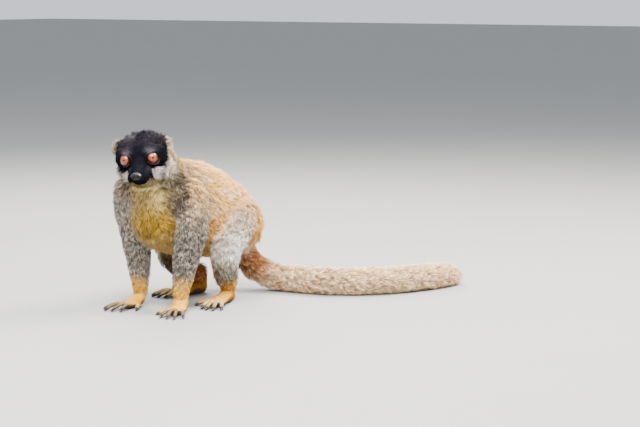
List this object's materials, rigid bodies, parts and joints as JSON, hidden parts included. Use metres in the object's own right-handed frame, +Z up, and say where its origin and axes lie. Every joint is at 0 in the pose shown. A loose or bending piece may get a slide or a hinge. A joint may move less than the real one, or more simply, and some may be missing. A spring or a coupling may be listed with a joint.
{
  "type": "brown lemur",
  "caption": "Still, life-size common brown lemur standing on all fours, head turned to its left, long tail laid in a curve on the floor behind it.",
  "frame": {"origin": "centre of the bottom of the box round the whole animal, on the floor it stands on", "axes": "+Z up, the animal heads along -Y, its left side lies along +X, and its tail runs back along +Y"},
  "size_m": [0.3636, 0.5848, 0.2827],
  "materials": {
    "coat_face": "short dense fur, black with a grey bloom over the brows and cream cheeks",
    "nose_skin": "moist bare skin, blue-black",
    "eye": "clear wet cornea over an orange-red iris",
    "coat_pale": "woolly cream-grey fur",
    "coat_bib": "soft golden-ochre fur",
    "coat_back": "dense woolly fur, grey-brown ticked with black and cream",
    "coat_tan": "dense woolly fur, warm tan",
    "coat_grey": "clumped grey fur ticked with black and cream",
    "coat_gold": "short golden-orange fur, bare dark digit tips",
    "coat_thigh": "woolly pale grey-cream fur",
    "coat_tail": "bushy light brown-grey fur, rust at the root"
  },
  "bodies": {
    "root": {"head": "coat_face", "nose": "nose_skin", "eye_left": "eye", "eye_right": "eye", "ear_left": "coat_pale", "ear_right": "coat_pale", "neck": "coat_bib", "chest": "coat_bib", "belly": "coat_back", "rump": "coat_tan", "upper_arm_left": "coat_grey", "upper_arm_right": "coat_grey", "forearm_left": "coat_grey", "forearm_right": "coat_grey", "hand_left": "coat_gold", "hand_right": "coat_gold", "thigh_left": "coat_thigh", "thigh_right": "coat_thigh", "shin_left": "coat_thigh", "shin_right": "coat_thigh", "foot_left": "coat_gold", "foot_right": "coat_gold", "tail_1": "coat_tail", "tail_2": "coat_tail", "tail_3": "coat_tail", "tail_4": "coat_tail", "tail_5": "coat_tail"}
  },
  "joints": []
}
